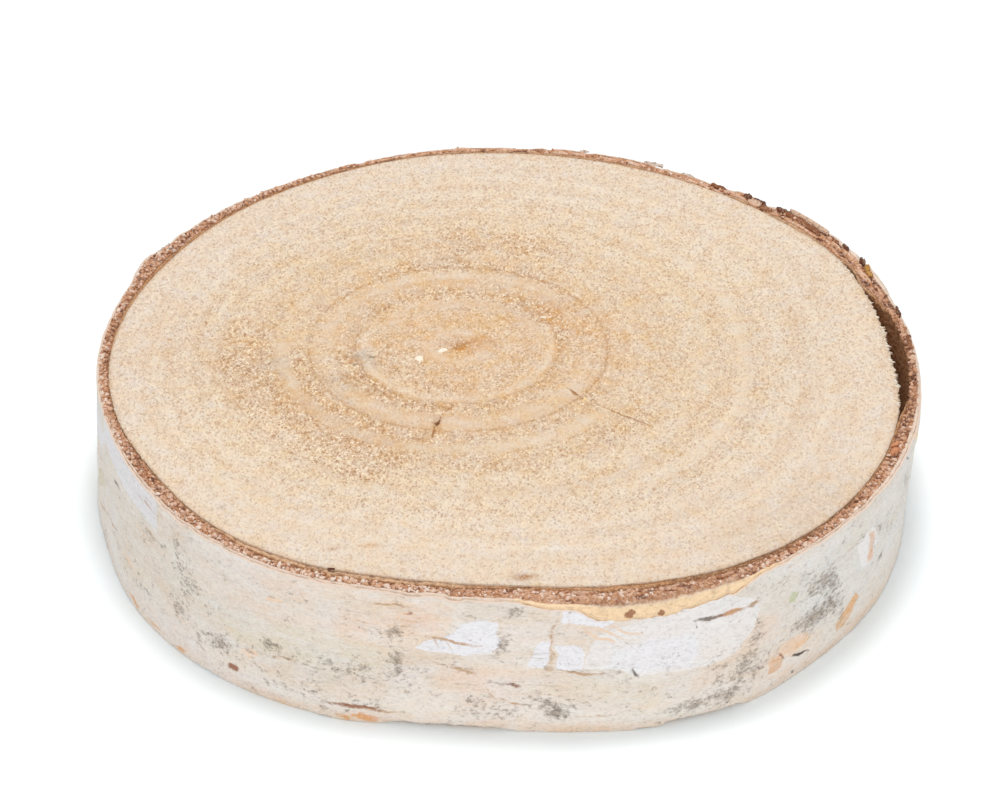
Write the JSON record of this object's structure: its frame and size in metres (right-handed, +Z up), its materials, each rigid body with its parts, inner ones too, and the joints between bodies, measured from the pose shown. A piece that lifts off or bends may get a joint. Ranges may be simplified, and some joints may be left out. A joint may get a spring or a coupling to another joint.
{
  "type": "birch wood slice",
  "caption": "Round slice sawn across a birch trunk, flat on both faces, with its white papery bark left on round the rim.",
  "frame": {"origin": "on the lower sawn face, under the middle of the slice's outline", "axes": "+Z up, square to both sawn faces; the bark has come loose on the +X side; -Y is the side that faces the viewer"},
  "size_m": [0.2652, 0.263, 0.0511],
  "materials": {
    "sawn_wood": "rough sawn end grain, dry and matt",
    "white_bark": "papery outer bark, matt to faintly silky",
    "inner_bark": "granular and matt"
  },
  "bodies": {
    "root": {"wood": "sawn_wood", "bark": "white_bark"}
  },
  "joints": []
}
